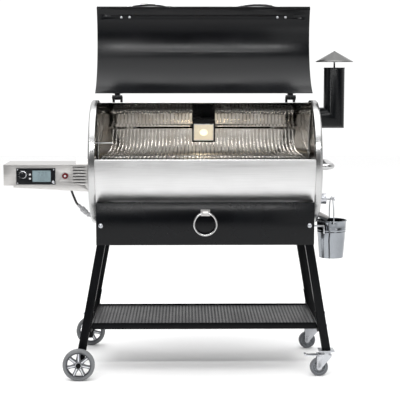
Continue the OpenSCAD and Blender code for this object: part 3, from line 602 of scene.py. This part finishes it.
def on_lid(degrees):
    """The same frame on the lid, at rest, turned open about its hinge pins."""
    swing = Matrix.Translation(PIN) @ Matrix.Rotation(-LID_OPEN, 4, "X") @ Matrix.Translation(-PIN)
    return swing @ at_angle(degrees)


def smooth_path(points, steps):
    """Catmull-Rom curve through points of any number of values."""
    out = []
    for i in range(len(points) - 1):
        p0, p1 = points[max(0, i - 1)], points[i]
        p2, p3 = points[i + 1], points[min(len(points) - 1, i + 2)]
        for k in range(steps):
            t = k / steps
            out.append(tuple(0.5 * (2 * b + t * (c - a) + t * t * (2 * a - 5 * b + 4 * c - d)
                                    + t ** 3 * (3 * b - a - 3 * c + d))
                             for a, b, c, d in zip(p0, p1, p2, p3)))
    return out + [tuple(points[-1])]


# Centre line and radius of the left handle in the lid's frame, as in the CAD source
HANDLE_ROUTE = [(-0.360, 0.2862, 0, 0.0148), (-0.361, 0.298, 0.001, 0.0148),
                (-0.368, 0.315, 0.010, 0.0148), (-0.358, 0.336, 0.025, 0.0143),
                (-0.318, 0.347, 0.038, 0.0138), (-0.255, 0.350, 0.042, 0.0128),
                (-0.186, 0.345, 0.037, 0.0103), (-0.126, 0.335, 0.0285, 0.0062)]


def lid_handles():
    place = on_lid(HANDLE_A)
    made = Piece("lid_handles_cast")
    route = smooth_path(HANDLE_ROUTE, 9)
    tip = route[-1]
    route += [(tip[0] + 0.002, tip[1] - 0.0004, tip[2] - 0.0004, tip[3] * 0.8),
              (tip[0] + 0.0035, tip[1] - 0.0006, tip[2] - 0.0006, tip[3] * 0.4)]
    for side in (1, -1):
        made.tube([(side * x, y, z) for x, y, z, r in route], [r for x, y, z, r in route],
                  HANDLE_STEEL, place, 24)
        foot = Matrix.Translation((-side * 0.366, LID_SKIN + 0.002, 0)) @ QUARTER_TURN
        outline = ([(0.012 + p, q) for p, q in arc((0, 0), 0.0135, -90, 90, 8)]
                   + [(-0.012 + p, q) for p, q in arc((0, 0), 0.0135, 90, 270, 8)])
        made.prism(outline, 0.004, HANDLE_STEEL, place @ foot)
        for x in (-0.019, 0.019):
            bolt = Matrix.Translation((-side * 0.366 + x, LID_SKIN - 0.007, 0)) @ QUARTER_TURN
            made.lathe([(0, 0), (0.0032, 0), (0.0032, -0.006), (0, -0.006)], ZINC, place @ bolt, 20)
            made.lathe([(0, 0.0), (0.0064, 0.0), (0.0060, 0.0018), (0.0042, 0.0032), (0, 0.0036)],
                       ZINC, place @ bolt, 24)
    made.done("lid", 0.0006, ("lid_handles",), smooth=50)


# ---------- bucket ----------
def bucket():
    lowest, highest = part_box("bucket")
    centre = Vector(((lowest.x + highest.x) / 2, (lowest.y + highest.y) / 2, 0))
    mouth = (highest.x - lowest.x) / 2 - 0.0024
    foot = 0.055
    z0, z1 = lowest.z, highest.z - 0.0024
    wall = 0.0012

    def side(t):
        return foot + (mouth - foot) * t

    def z(t):
        return z0 + (z1 - z0) * t

    made = Piece("bucket_pressed")
    outer = [(0, z0 + 0.004), (foot - 0.006, z0 + 0.004), (foot - 0.005, z0), (foot, z0)]
    for t in (0.03, 0.25, 0.5):
        outer.append((side(t), z(t)))
    for middle_t in (0.70, 0.76):
        for step in range(5):
            t = middle_t + (step - 2) * 0.008
            outer.append((side(t) + 0.0011 * math.cos((step - 2) * math.pi / 4), z(t)))
    outer.append((side(0.97), z(0.97)))
    outer += [(mouth + r, z1 + h) for r, h in arc((0, 0), 0.0024, -60, 180, 9)]
    inner = [(side(t) - wall, z(t)) for t in (0.96, 0.5, 0.03)]
    inner += [(foot - 0.004, z0 + 0.0055), (0, z0 + 0.0055)]
    made.lathe(outer + inner, BUCKET_STEEL, Matrix.Translation(centre), 96)
    pivot = Vector(joint("bucket_swing")["pos_m"])
    for s in (-1, 1):
        ear = along((0, s, 0), pivot)
        made.lathe([(0.0026, 0.0665), (0.010, 0.0655), (0.010, 0.0690), (0.0065, 0.0700), (0.0065, 0.0745),
                    (0.0055, 0.0750), (0.0026, 0.0750)], BUCKET_STEEL, ear, 28)
        plate = Matrix.Translation(pivot + Vector((0, s * 0.0672, -0.004))) @ QUARTER_TURN
        outline = ([(0.013 + p, 0.010 + q) for p, q in arc((0, 0), 0.006, 0, 90, 4)]
                   + [(-0.013 + p, 0.010 + q) for p, q in arc((0, 0), 0.006, 90, 180, 4)]
                   + [(-0.013 + p, -0.020 + q) for p, q in arc((0, 0), 0.006, 180, 270, 4)]
                   + [(0.013 + p, -0.020 + q) for p, q in arc((0, 0), 0.006, 270, 360, 4)])
        made.prism(outline, 0.0022, BUCKET_STEEL, plate)
        for x in (-0.012, 0.012):
            rivet = along((0, s, 0), pivot + Vector((x, s * 0.0680, -0.022)))
            made.lathe([(0, 0), (0.0032, 0), (0.0028, 0.0016), (0.0014, 0.0024), (0, 0.0026)],
                       ZINC, rivet, 18)
    made.done("bucket", 0, ("bucket",), smooth=40)


def bucket_bail():
    lowest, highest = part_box("bucket_bail")
    wire = 0.0025
    reach = (highest.y - lowest.y) / 2 - wire
    x, y0 = (lowest.x + highest.x) / 2, (lowest.y + highest.y) / 2
    arch_z = highest.z - wire - reach
    ear_z = lowest.z + wire
    path = [(x, y0 - 0.0695, ear_z), (x, y0 - reach + 0.003, ear_z), (x, y0 - reach + 0.0008, ear_z + 0.0008),
            (x, y0 - reach, ear_z + 0.003), (x, y0 - reach, arch_z - 0.004)]
    path += [(x, y0 - p, arch_z + q) for p, q in arc((0, 0), reach, 0, 180, 40)]
    path += [(a, 2 * y0 - b, c) for a, b, c in reversed(path[:5])]
    made = Piece("bucket_bail_wire")
    made.tube(path, wire, ZINC, sides=14)
    made.done("bucket_bail", 0, ("bucket_bail",), smooth=60)


# ---------- control panel ----------
def control_front():
    """Bezel details: display glass with its read-out, dial marks and screws, the knurled knob and the domed
    power button.
    """
    lowest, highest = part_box("display")
    face = lowest.y
    panel = Piece("display_glass")
    panel.block((lowest.x, lowest.y, lowest.z), (highest.x, highest.y, highest.z), LCD)
    panel.done("cart", 0.0006, ("display",))
    digits = Piece("display_digits")
    wide, tall = highest.x - lowest.x, highest.z - lowest.z

    def stroke(x0, x1, z0, z1):
        digits.block((x0, face - 0.0002, z0), (x1, face + 0.0002, z1), LCD_INK)

    def digit(x, z, w, h, lit):
        t = h * 0.11
        bars = {"a": (x, x + w, z + h - t, z + h), "d": (x, x + w, z, z + t),
                "g": (x, x + w, z + (h - t) / 2, z + (h + t) / 2),
                "f": (x, x + t, z + h / 2, z + h), "e": (x, x + t, z, z + h / 2),
                "b": (x + w - t, x + w, z + h / 2, z + h), "c": (x + w - t, x + w, z, z + h / 2)}
        for name in lit:
            stroke(*bars[name])

    shapes = {2: "abged", 5: "afgcd", 0: "abcdef"}
    for row, scale in ((0.50, 0.36), (0.12, 0.22)):
        for k, value in enumerate((2, 2, 5) if row > 0.3 else (2, 0, 0)):
            digit(lowest.x + wide * (0.30 + k * scale * 0.55), lowest.z + tall * row,
                  wide * scale * 0.32, tall * scale, shapes[value])
    stroke(lowest.x + wide * 0.06, lowest.x + wide * 0.94, lowest.z + tall * 0.425, lowest.z + tall * 0.44)
    digits.done("cart", 0, ())

    frame_piece = Piece("bezel_marks")
    low_b, high_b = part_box("control_bezel")
    knob = Vector(joint("knob_turn")["pos_m"])
    for k in range(11):
        t = math.radians(225 - 27 * k)
        turn = (Matrix.Translation((knob.x, low_b.y, knob.z)) @ QUARTER_TURN
                @ Matrix.Rotation(t, 4, "Z"))
        frame_piece.prism([(0.0185, -0.0005), (0.0205, -0.0005), (0.0205, 0.0005), (0.0185, 0.0005)], 0.0004,
                          KEYS, turn)
    for x in (low_b.x + 0.006, high_b.x - 0.006):
        for z in (low_b.z + 0.006, high_b.z - 0.006):
            screw(frame_piece, along((0, -1, 0), (x, low_b.y, z)), 0.003, ZINC)
    screw(frame_piece, along((0, -1, 0), (high_b.x - 0.009, low_b.y, low_b.z + 0.011)), 0.0058, HUB_ALLOY)
    frame_piece.done("cart", 0, ())

    dial = Piece("control_knob_knurled")
    lowest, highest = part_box("control_knob")
    front, back, skirt = lowest.y, lowest.y + 0.0155, 0.016
    place = along((0, -1, 0), (knob.x, back, knob.z))
    deep = back - front
    flutes = 36
    outline = []
    for k in range(flutes * 4):
        t = math.tau * k / (flutes * 4)
        radius = 0.0142 + (0.0005 if k % 4 in (0, 1) else -0.0003)
        outline.append((radius * math.cos(t), radius * math.sin(t)))
    dial.prism(outline, deep - 0.006, BEZEL, place @ Matrix.Translation((0, 0, deep / 2)))
    dial.lathe([(0, 0), (skirt - 0.001, 0), (skirt, 0.001), (skirt, 0.002), (0.0135, 0.0035), (0, 0.0035)],
               HUB_ALLOY, place, 64)
    dial.lathe([(0, deep - 0.0035), (0.0136, deep - 0.0035), (0.0130, deep - 0.001), (0.0118, deep),
                (0.0105, deep - 0.0004), (0, deep - 0.0006)], BEZEL, place, 64)
    dial.lathe([(0, -0.012), (0.003, -0.012), (0.003, 0.001), (0, 0.001)], ZINC, place, 24)
    dial.prism([(-0.0006, 0.006), (0.0006, 0.006), (0.0006, 0.0115), (-0.0006, 0.0115)], 0.0004, KEYS,
               place @ Matrix.Translation((0, 0, deep - 0.0004)))
    dial.done("control_knob", 0, ("control_knob",), smooth=30)

    button = Piece("power_button_domed")
    lowest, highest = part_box("power_button")
    middle_b = (lowest + highest) / 2
    radius = (highest.z - lowest.z) / 2
    place = along((0, -1, 0), (middle_b.x, lowest.y + 0.008, middle_b.z))
    button.lathe([(0, -0.007), (0.005, -0.007), (0.005, 0), (radius, 0), (radius, 0.0055),
                  (radius - 0.0008, 0.0068), (radius - 0.003, 0.0076),
                  (0.006, 0.0070), (0, 0.0066)], RED, place, 64)
    # Pale grey disc on the dome's top: a painted highlight standing in for the shine at the button's centre,
    # not a real insert
    button.lathe([(0, 0.0060), (0.0046, 0.0060), (0.0046, 0.0074), (0.0040, 0.0078), (0, 0.0078)],
                 KEYS, place, 40)
    button.done("power_button", 0, ("power_button",), smooth=35)


def screw(piece, place, radius, material):
    """Pan-head screw with a cross slot cut as two dark grooves."""
    piece.lathe([(0, 0), (radius, 0), (radius, radius * 0.25), (radius * 0.8, radius * 0.5),
                 (radius * 0.4, radius * 0.62), (0, radius * 0.65)], material, place, 24)
    deep = radius * 0.66
    for turn in (0, math.pi / 2):
        slot = place @ Matrix.Rotation(turn, 4, "Z") @ Matrix.Translation((0, 0, deep))
        piece.prism([(-radius * 0.55, -radius * 0.1), (radius * 0.55, -radius * 0.1),
                     (radius * 0.55, radius * 0.1), (-radius * 0.55, radius * 0.1)],
                    radius * 0.05, SLOT_BLACK, slot)


# ---------- fasteners ----------
def frame_bolts():
    """Domed bolts with a round socket recess on washers, on the body and the legs."""
    made = Piece("frame_bolts_domed")
    for lowest, highest in solids("frame_bolts"):
        centre = (lowest + highest) / 2
        size = highest - lowest
        if size.y < min(size.x, size.z):
            outwards = (0, -1 if centre.y < AXIS_Y else 1, 0)
            base = Vector((centre.x, highest.y if outwards[1] < 0 else lowest.y, centre.z))
            radius = size.x / 2
        else:
            side = -1 if centre.x < BARREL_X else 1
            tilt = math.atan((0.098 if side < 0 else 0.089) / 0.518)
            outwards = Vector((side * math.cos(tilt), 0, math.sin(tilt)))
            radius = size.y / 2
            base = centre - outwards * 0.003
        place = along(outwards, base)
        made.lathe([(0, 0), (radius, 0), (radius, 0.0012), (radius - 0.0006, 0.0016), (0, 0.0016)],
                   ZINC, place, 32)
        dome = radius * 0.78
        made.lathe([(0, 0.0015), (dome, 0.0015), (dome * 0.97, 0.0026), (dome * 0.8, 0.0040),
                    (dome * 0.5, 0.0049),
                    (dome * 0.42, 0.0049), (dome * 0.40, 0.0030), (0, 0.0030)], ZINC, place, 6 * 8)
    made.done("cart", 0, ("frame_bolts",), smooth=40)


def solids(node):
    """Boxes of a node's separate solids."""
    mesh = NODES[node].data
    graph = bmesh.new()
    graph.from_mesh(mesh)
    bmesh.ops.remove_doubles(graph, verts=graph.verts, dist=1e-6)
    seen, boxes = set(), []
    for start in graph.verts:
        if start.index in seen or start in seen:
            continue
        stack, group = [start], []
        seen.add(start)
        while stack:
            v = stack.pop()
            group.append(v.co.copy())
            for edge in v.link_edges:
                other = edge.other_vert(v)
                if other not in seen:
                    seen.add(other)
                    stack.append(other)
        corners = [tuple(c) for c in group]
        boxes.append((Vector(map(min, *corners)), Vector(map(max, *corners))))
    graph.free()
    return boxes


# ---------- cable, ring, lamp, chimney seam ----------
def harness():
    lowest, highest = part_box("harness_cable")
    y = (lowest.y + highest.y) / 2
    # same route as the CAD source's, from the top down, in metres from the barrel's middle
    route = [(-0.593, 0.822), (-0.5925, 0.810), (-0.587, 0.793), (-0.579, 0.773), (-0.571, 0.755),
             (-0.563, 0.7465)]
    path = smooth_path([(BARREL_X + x, y, z) for x, z in route], 8)
    cable = Piece("harness_cable_round")
    cable.tube(path, 0.005, RUBBER, sides=20)
    gland = along((0, 0, 1), path[0])
    cable.lathe([(0.0052, -0.012), (0.0075, -0.010), (0.0085, -0.004), (0.0085, 0), (0.0052, 0)],
                RUBBER, gland, 28)
    cable.done("cart", 0, ("harness_cable",), smooth=50)
    start, end = Vector(path[-1]), Vector((BARREL_X - 0.5195, y, 0.703))
    run = (end - start).length
    plug = Piece("harness_plug_moulded")
    place = along(end - start, start)
    profile = [(0.0052, -0.002), (0.0065, -0.001)]
    for k in range(5):
        z = 0.001 + k * 0.0034
        profile += [(0.0080, z), (0.0080, z + 0.0016), (0.0070, z + 0.0020), (0.0070, z + 0.0032)]
    profile += [(0.0105, 0.019), (0.0120, 0.022), (0.0120, 0.034), (0.0112, 0.035), (0.0112, 0.038),
                (0.0120, 0.039), (0.0120, run - 0.012), (0.0090, run - 0.010),
                (0.0090, run), (0, run), (0, -0.002)]
    plug.lathe(profile, PLUG_GREY, place, 40)
    for k in range(16):
        turn = place @ Matrix.Rotation(math.tau * k / 16, 4, "Z")
        plug.prism([(-0.0009, 0.0112), (0.0009, 0.0112), (0.0009, 0.0124), (-0.0009, 0.0124)], 0.010,
                   PLUG_GREY, turn @ Matrix.Translation((0, 0, 0.028)))
    high_p = high("harness_plug")
    socket = along((1, 0, 0), (end.x - 0.006, y, end.z))
    deep = high_p.x - (end.x - 0.006)
    plug.lathe([(0, 0), (0.0085, 0), (0.0095, 0.001), (0.0095, deep - 0.004), (0.0125, deep - 0.004),
                (0.0125, deep), (0, deep)], PLUG_GREY, socket, 36)
    plug.done("cart", 0.0002, ("harness_plug",), smooth=40)


def pull_ring():
    """The drawn-wire ring on the front panel."""
    lowest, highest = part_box("pull_ring")
    wire = (highest.y - lowest.y) / 2
    centre = (lowest + highest) / 2
    radius = (highest.x - lowest.x) / 2 - wire
    ring = Piece("pull_ring_bright")
    path = [(centre.x + p, centre.y, centre.z + q) for p, q in arc((0, 0), radius, 0, 360, 96)[:-1]]
    ring.tube(path, wire, HANDLE_STEEL, sides=20, closed=True)
    ring.done("pull_ring", 0, ("pull_ring",), smooth=80)


def lamp():
    """Ribbed lens over a bulb, in a black frame with two clamp screws."""
    place = at_angle(147)
    lens = Piece("lamp_glass_ribbed")
    front, back, wide, tall = 0.222, 0.261, 0.0445, 0.0435
    ribs = 18
    outline = [(-wide, -back), (-wide, -front - 0.003)]
    for k in range(ribs * 2 + 1):
        x = -wide + 0.002 + (2 * wide - 0.004) * k / (ribs * 2)
        outline.append((x, -front - (0.0012 if k % 2 == 0 else 0)))
    outline += [(wide, -front - 0.003), (wide, -back)]
    turned = place @ Matrix(((1, 0, 0, 0), (0, -1, 0, 0), (0, 0, 1, 0), (0, 0, 0, 1)))
    lens.prism(outline, 2 * tall, LAMP, turned)
    towards = place @ Matrix.Translation((0, front, 0)) @ QUARTER_TURN
    lens.lathe([(0, -0.001), (0.019, -0.001), (0.0185, 0.0004), (0.0165, 0.0004), (0.0155, 0), (0, 0)],
               BULB, towards, 48)
    lens.done("cart", 0.0006, ("lamp_glass",), smooth=30)
    trim = Piece("lamp_trim")
    for z in (-0.052, 0.052):
        screw(trim, place @ Matrix.Translation((0, 0.226, z)) @ QUARTER_TURN, 0.0045, SLOT_BLACK)
    for z in (-0.0455, 0.0455):
        trim.block((-0.046, 0.2235, z - 0.0022), (0.046, 0.2262, z + 0.0022), HUB_ALLOY, place)
    for x in (-0.0455, 0.0455):
        trim.block((x - 0.0012, 0.2235, -0.0455), (x + 0.0012, 0.2262, 0.0455), HUB_ALLOY, place)
    trim.done("cart", 0.0003, ())


def chimney_details():
    highest = high("chimney")
    cap_low, cap_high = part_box("chimney_cap")
    centre = (cap_low + cap_high) / 2
    radius = 0.0475
    made = Piece("chimney_seam")
    seam_x = centre.x - radius * math.sin(math.radians(20))
    seam_y = centre.y - radius * math.cos(math.radians(20))
    seam = [(seam_x, seam_y + 0.0006, z) for z in (1.124 + 0.025, highest.z - 0.004)]
    made.tube(seam, 0.0016, BLACK, sides=8)
    made.lathe([(radius - 0.002, -0.003), (radius + 0.0006, -0.003), (radius + 0.0014, -0.0015),
                (radius + 0.0014, 0),
                (radius + 0.0004, 0.0012), (radius - 0.002, 0.0012)],
               BLACK, Matrix.Translation((centre.x, centre.y, highest.z - 0.001)), 72)
    flange = along((1, 0, 0), (BARREL_X + 0.511, centre.y, 1.124))
    for k in range(6):
        t = math.tau * (k + 0.5) / 6
        bolt = flange @ Matrix.Translation((0.0545 * math.cos(t), 0.0545 * math.sin(t), 0))
        made.lathe([(0, 0), (0.0045, 0), (0.0045, 0.0014), (0.003, 0.0028), (0, 0.0032)], BLACK, bolt, 20)
    made.done("cart", 0, (), smooth=40)


def hinge_details():
    """Cap nuts on the hinge pins and screws in the hinge shoes."""
    fixed = Piece("hinge_pin_caps")
    loose = Piece("hinge_shoe_screws")
    for side in (-1, 1):
        x = side * 0.398
        for end in (-1, 1):
            place = at_angle(106.5) @ Matrix.Translation((x + end * 0.023, 0.300, 0))
            turn = place @ Matrix.Rotation(end * math.pi / 2, 4, "Y")
            fixed.lathe([(0, 0), (0.0048, 0), (0.0048, 0.001), (0.0036, 0.0018), (0, 0.002)],
                        BLACK, turn, 6)
            shoe = at_angle(106.5 + 12.5) @ Matrix.Translation((x + end * 0.020, BARREL_R + 0.0018, 0))
            fixed.lathe([(0, 0), (0.0042, 0), (0.0038, 0.0018), (0.002, 0.0028), (0, 0.003)], ZINC,
                        shoe @ Matrix.Rotation(-math.pi / 2, 4, "X"), 20)
            leaf = on_lid(94) @ Matrix.Translation((x + end * 0.012, LID_SKIN + 0.003, 0))
            loose.lathe([(0, 0), (0.0042, 0), (0.0038, 0.0018), (0.002, 0.0028), (0, 0.003)], ZINC,
                        leaf @ Matrix.Rotation(-math.pi / 2, 4, "X"), 20)
    fixed.done("cart", 0, ())
    loose.done("lid", 0, ())


for wheel in ("wheel_front", "wheel_rear"):
    spoked_wheel(wheel)
for wheel in ("caster_wheel_front", "caster_wheel_rear"):
    caster_wheel(wheel)
for panel in ("grate_left", "grate_centre", "grate_right"):
    grate(panel)
shelf_deck()
lid_handles()
bucket()
bucket_bail()
control_front()
frame_bolts()
harness()
pull_ring()
lamp()
chimney_details()
hinge_details()


# ---------- camera, floor and light ----------
CAMERA_AT = Vector((BARREL_X - 0.0861, AXIS_Y - 5.1926, 1.3692))
CAMERA_TURN = 0.0128       # radians, to the right of straight ahead
CAMERA_DIP = 0.118         # radians below level
FOCAL_RATIO = 1145 / 400   # focal length over the sensor's width
SENSOR = 36.0


def make_camera():
    data = bpy.data.cameras.new("camera")
    data.sensor_width = SENSOR
    data.lens = SENSOR * FOCAL_RATIO
    data.clip_end = 60.0
    camera = bpy.data.objects.new("camera", data)
    bpy.context.scene.collection.objects.link(camera)
    ahead = Vector((math.sin(CAMERA_TURN), math.cos(CAMERA_TURN), -math.tan(CAMERA_DIP)))
    camera.location = CAMERA_AT
    camera.rotation_mode = "QUATERNION"
    camera.rotation_quaternion = ahead.to_track_quat("-Z", "Y")
    bpy.context.scene.camera = camera


def soft_light(name, at, towards, size, power, shade=(1, 1, 1)):
    data = bpy.data.lights.new(name, "AREA")
    data.shape = "RECTANGLE"
    data.size, data.size_y = size
    data.energy = power
    data.color = shade
    lamp = bpy.data.objects.new(name, data)
    bpy.context.scene.collection.objects.link(lamp)
    lamp.location = at
    lamp.rotation_mode = "QUATERNION"
    lamp.rotation_quaternion = (Vector(towards) - Vector(at)).to_track_quat("-Z", "Y")
    return lamp


def make_floor():
    mesh = bpy.data.meshes.new("floor")
    far = 12.0
    mesh.from_pydata([(-far, -far, 0), (far, -far, 0), (far, far, 0), (-far, far, 0)], [], [(0, 1, 2, 3)])
    floor = bpy.data.objects.new("floor", mesh)
    bpy.context.scene.collection.objects.link(floor)
    pale = Shader("floor_pale", (0.93, 0.93, 0.93), 0.0, 0.6)
    mesh.materials.append(pale.mat)


def make_world():
    """White behind and above the grill and greyer on the camera's side, like a studio with a backdrop."""
    world = bpy.data.worlds.new("studio")
    bpy.context.scene.world = world
    world.use_nodes = True
    tree = world.node_tree
    where = tree.nodes.new("ShaderNodeTexCoord")
    split = tree.nodes.new("ShaderNodeSeparateXYZ")
    tree.links.new(where.outputs["Generated"], split.inputs["Vector"])
    parts = []
    for axis, span in (("Y", (-0.5, 0.1, 0.15, 1.08)), ("Z", (0.45, 0.95, 0.0, 0.6))):
        band = tree.nodes.new("ShaderNodeMapRange")
        band.interpolation_type = "SMOOTHSTEP"
        for socket, value in zip(("From Min", "From Max", "To Min", "To Max"), span):
            band.inputs[socket].default_value = value
        tree.links.new(split.outputs[axis], band.inputs["Value"])
        parts.append(band.outputs["Result"])
    total = tree.nodes.new("ShaderNodeMath")
    total.operation = "ADD"
    tree.links.new(parts[0], total.inputs[0])
    tree.links.new(parts[1], total.inputs[1])
    sky = tree.nodes["Background"]
    sky.inputs["Color"].default_value = (1, 1, 1, 1)
    tree.links.new(total.outputs[0], sky.inputs["Strength"])


make_camera()
make_floor()
make_world()
soft_light("key", (-1.9, -3.2, 2.9), (0, 0, 0.9), (1.4, 1.8), 22)
soft_light("band", (0.05, -2.75, 2.62), (0, 0.17, 1.44), (3.6, 0.12), 55)
soft_light("fill", (2.2, -3.4, 1.4), (0, 0, 0.8), (1.2, 2.0), 10)
soft_light("overhead", (0, -0.6, 4.2), (0, 0, 0), (5.0, 4.0), 150)
soft_light("lamp_glow", (BARREL_X, AXIS_Y + 0.165, 1.035), (BARREL_X, AXIS_Y + 0.05, 0.94), (0.06, 0.05), 1.6,
           (1.0, 0.86, 0.62))
bpy.context.scene.view_settings.view_transform = "Standard"
